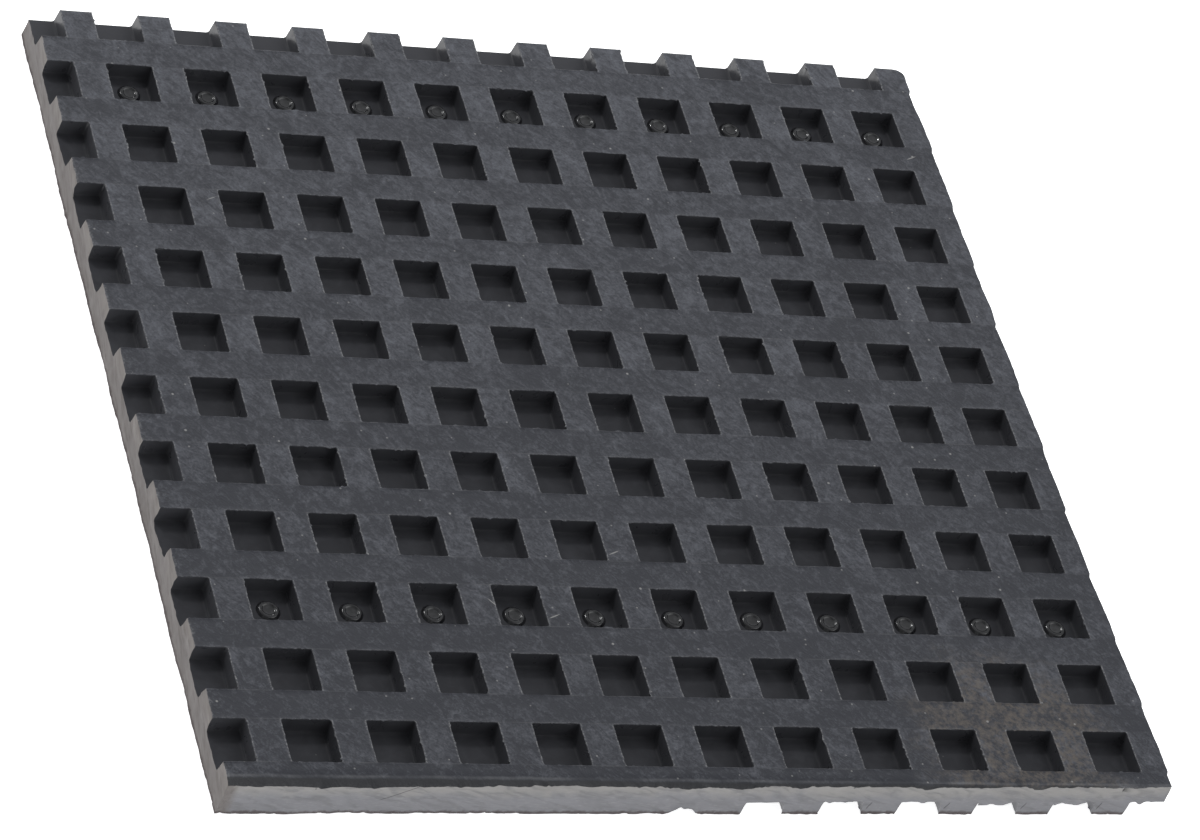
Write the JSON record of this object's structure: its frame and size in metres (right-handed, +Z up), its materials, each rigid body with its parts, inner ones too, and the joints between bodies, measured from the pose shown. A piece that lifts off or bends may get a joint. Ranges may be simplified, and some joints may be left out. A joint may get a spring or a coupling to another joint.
{
  "type": "double-sided waffle isolation pad",
  "caption": "Flat square pad of moulded black rubber with ribs and square pockets on both faces, cut to size, laid under equipment to damp vibration and stop slipping.",
  "frame": {"origin": "centre of the pad's bounding rectangle, on the plane of the lower rib crests that it rests on", "axes": "+Z up through the thickness, +Y from the near cut to the far cut, +X to the right along the rows of pockets"},
  "size_m": [0.2036, 0.2042, 0.008],
  "materials": {
    "moulded_rubber": "matte moulded black rubber with a fine dusty bloom",
    "cut_rubber": "dry, paler knife-cut face with faint lengthwise streaks",
    "pocket_rubber": "smooth black rubber with the shine of the polished mould pins"
  },
  "bodies": {
    "root": {"upper_waffle": "moulded_rubber", "centre_web": "cut_rubber", "lower_waffle": "moulded_rubber", "far_pocket_marks": "pocket_rubber", "near_pocket_marks": "pocket_rubber"}
  },
  "joints": []
}
